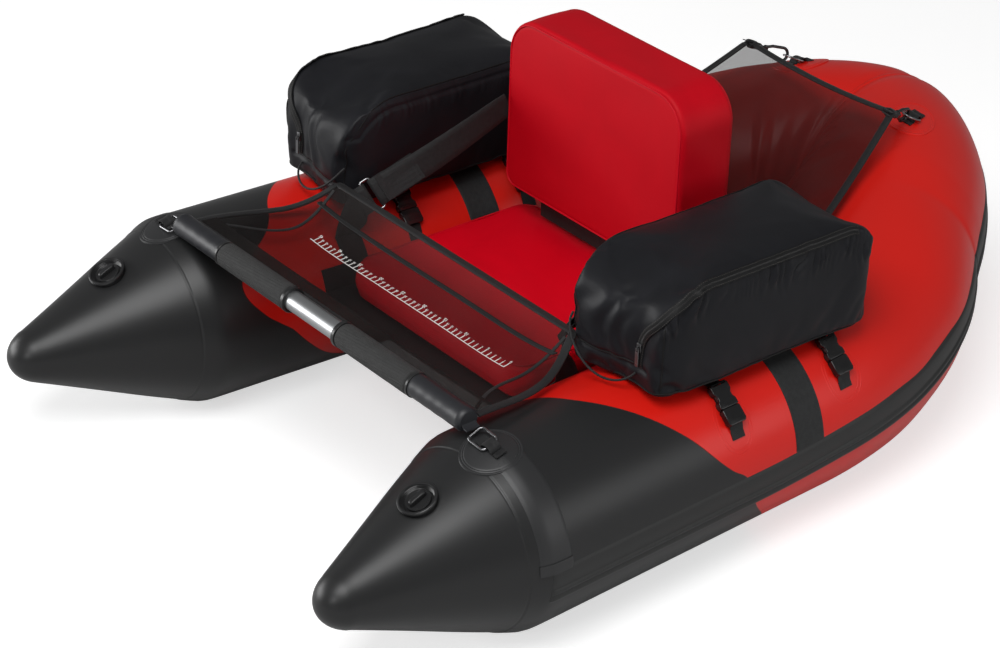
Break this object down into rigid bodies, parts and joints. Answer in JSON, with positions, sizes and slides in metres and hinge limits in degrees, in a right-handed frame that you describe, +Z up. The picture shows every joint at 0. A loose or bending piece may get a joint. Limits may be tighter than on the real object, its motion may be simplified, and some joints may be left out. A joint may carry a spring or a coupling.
{
  "type": "float tube",
  "caption": "U-shaped inflatable pontoon seat for one sitter, with folding backrest, zipped side bags, mesh apron, cross bar and rear cargo net.",
  "frame": {"origin": "on the floor, below the middle of the whole object's box", "axes": "+Z up; -Y towards the two noses, the way the sitter faces; +X to the sitter's left (port)"},
  "size_m": [1.0818, 1.6187, 0.6],
  "materials": {
    "hull_red": "satin coated PVC, welded",
    "weld_black": "satin coated PVC",
    "plastic_black": "moulded acetal and nylon",
    "foam_grey": "ribbed closed-cell foam",
    "aluminium": "satin anodised tube",
    "steel": "polished stainless steel",
    "webbing_black": "woven polyester webbing",
    "mesh_black": "open knitted mesh",
    "ruler_white": "printed flexible strip",
    "seat_red": "coated polyester cover over foam",
    "bag_black": "coated nylon"
  },
  "bodies": {
    "hull": {"apron_binding": "webbing_black", "apron_mesh": "mesh_black", "apron_ruler": "ruler_white", "backrest_flap": "webbing_black", "cargo_net": "mesh_black", "net_binding": "webbing_black", "port_air_chamber": "hull_red", "port_back_strap": "webbing_black", "port_bag": "bag_black", "port_bag_band": "webbing_black", "port_bar_grip": "foam_grey", "port_bar_sleeve": "webbing_black", "port_bow_patch": "weld_black", "port_front_inner_buckle": "plastic_black", "port_front_socket": "plastic_black", "port_net_hook": "plastic_black", "port_rear_inner_buckle": "plastic_black", "port_rear_socket": "plastic_black", "port_rub_strake": "weld_black", "port_stern_patch": "hull_red", "port_strap_buckle": "steel", "port_valve_body": "plastic_black", "seat_cushion": "seat_red", "seat_sling": "webbing_black", "spreader_bar": "aluminium", "starboard_air_chamber": "hull_red", "starboard_back_strap": "webbing_black", "starboard_bag": "bag_black", "starboard_bag_band": "webbing_black", "starboard_bar_grip": "foam_grey", "starboard_bar_sleeve": "webbing_black", "starboard_bow_patch": "weld_black", "starboard_front_inner_buckle": "plastic_black", "starboard_front_socket": "plastic_black", "starboard_net_hook": "plastic_black", "starboard_rear_inner_buckle": "plastic_black", "starboard_rear_socket": "plastic_black", "starboard_rub_strake": "weld_black", "starboard_stern_patch": "hull_red", "starboard_strap_buckle": "steel", "starboard_valve_body": "plastic_black", "stern_bulkhead": "hull_red"},
    "backrest": {"backrest_cushion": "seat_red"},
    "port_cap": {"port_valve_cap": "plastic_black"},
    "port_bow_link": {"port_bow_ring": "steel"},
    "port_stern_link": {"port_stern_ring": "steel"},
    "port_gate": {"port_hook_gate": "plastic_black"},
    "port_zip": {"port_zip_slider": "steel"},
    "port_pull": {"port_zip_pull": "steel"},
    "port_front_clip": {"port_front_plug": "plastic_black"},
    "port_rear_clip": {"port_rear_plug": "plastic_black"},
    "starboard_cap": {"starboard_valve_cap": "plastic_black"},
    "starboard_bow_link": {"starboard_bow_ring": "steel"},
    "starboard_stern_link": {"starboard_stern_ring": "steel"},
    "starboard_gate": {"starboard_hook_gate": "plastic_black"},
    "starboard_zip": {"starboard_zip_slider": "steel"},
    "starboard_pull": {"starboard_zip_pull": "steel"},
    "starboard_front_clip": {"starboard_front_plug": "plastic_black"},
    "starboard_rear_clip": {"starboard_rear_plug": "plastic_black"}
  },
  "joints": [
    {"name": "backrest_fold", "type": "hinge", "parent": "hull", "child": "backrest", "pos_m": [0, 0.02115, 0.30132], "axis": [1, 0, 0], "range_deg": [0, 70], "deforming": ["port_back_strap", "starboard_back_strap"]},
    {"name": "port_cap_turn", "type": "hinge", "parent": "hull", "child": "port_cap", "pos_m": [0.39361, -0.63435, 0.24947], "axis": [0.0085, -0.4079, 0.913], "range_deg": [0, 90]},
    {"name": "port_bow_ring_swing", "type": "hinge", "parent": "hull", "child": "port_bow_link", "pos_m": [0.4044, -0.51983, 0.30333], "axis": [-0.0039, 0.9293, 0.3693], "range_deg": [0, 100]},
    {"name": "port_stern_ring_swing", "type": "hinge", "parent": "hull", "child": "port_stern_link", "pos_m": [0.13323, 0.57287, 0.3911], "axis": [-0.9533, -0.2059, 0.2209], "range_deg": [-3, 3]},
    {"name": "port_gate_spring", "type": "hinge", "parent": "hull", "child": "port_gate", "pos_m": [0.15234, 0.51145, 0.41631], "axis": [0.9533, 0.2059, -0.2209], "range_deg": [0, 20], "stiffness_Nm_per_rad": 0.004, "springref_deg": -11.46},
    {"name": "port_zip_slide", "type": "slide", "parent": "hull", "child": "port_zip", "axis": [0, 0, 1], "range_m": [0, 0.05]},
    {"name": "port_pull_swing", "type": "hinge", "parent": "port_zip", "child": "port_pull", "pos_m": [0.412, -0.26435, 0.372], "axis": [-1, 0, 0], "range_deg": [0, 150]},
    {"name": "port_front_clip_slide", "type": "slide", "parent": "hull", "child": "port_front_clip", "axis": [0.7395, 0.0329, -0.6724], "range_m": [0, 0.022]},
    {"name": "port_rear_clip_slide", "type": "slide", "parent": "hull", "child": "port_rear_clip", "axis": [0.7378, 0.0583, -0.6724], "range_m": [0, 0.022]},
    {"name": "starboard_cap_turn", "type": "hinge", "parent": "hull", "child": "starboard_cap", "pos_m": [-0.39361, -0.63435, 0.24947], "axis": [-0.0085, -0.4079, 0.913], "range_deg": [0, 90]},
    {"name": "starboard_bow_ring_swing", "type": "hinge", "parent": "hull", "child": "starboard_bow_link", "pos_m": [-0.4044, -0.51983, 0.30333], "axis": [-0.0039, -0.9293, -0.3693], "range_deg": [0, 100]},
    {"name": "starboard_stern_ring_swing", "type": "hinge", "parent": "hull", "child": "starboard_stern_link", "pos_m": [-0.13323, 0.57287, 0.3911], "axis": [-0.9533, 0.2059, -0.2209], "range_deg": [-3, 3]},
    {"name": "starboard_gate_spring", "type": "hinge", "parent": "hull", "child": "starboard_gate", "pos_m": [-0.15234, 0.51145, 0.41631], "axis": [0.9533, -0.2059, 0.2209], "range_deg": [0, 20], "stiffness_Nm_per_rad": 0.004, "springref_deg": -11.46},
    {"name": "starboard_zip_slide", "type": "slide", "parent": "hull", "child": "starboard_zip", "axis": [0, 0, 1], "range_m": [0, 0.05]},
    {"name": "starboard_pull_swing", "type": "hinge", "parent": "starboard_zip", "child": "starboard_pull", "pos_m": [-0.412, -0.26435, 0.372], "axis": [-1, 0, 0], "range_deg": [0, 150]},
    {"name": "starboard_front_clip_slide", "type": "slide", "parent": "hull", "child": "starboard_front_clip", "axis": [-0.7395, 0.0329, -0.6724], "range_m": [0, 0.022]},
    {"name": "starboard_rear_clip_slide", "type": "slide", "parent": "hull", "child": "starboard_rear_clip", "axis": [-0.7378, 0.0583, -0.6724], "range_m": [0, 0.022]}
  ]
}
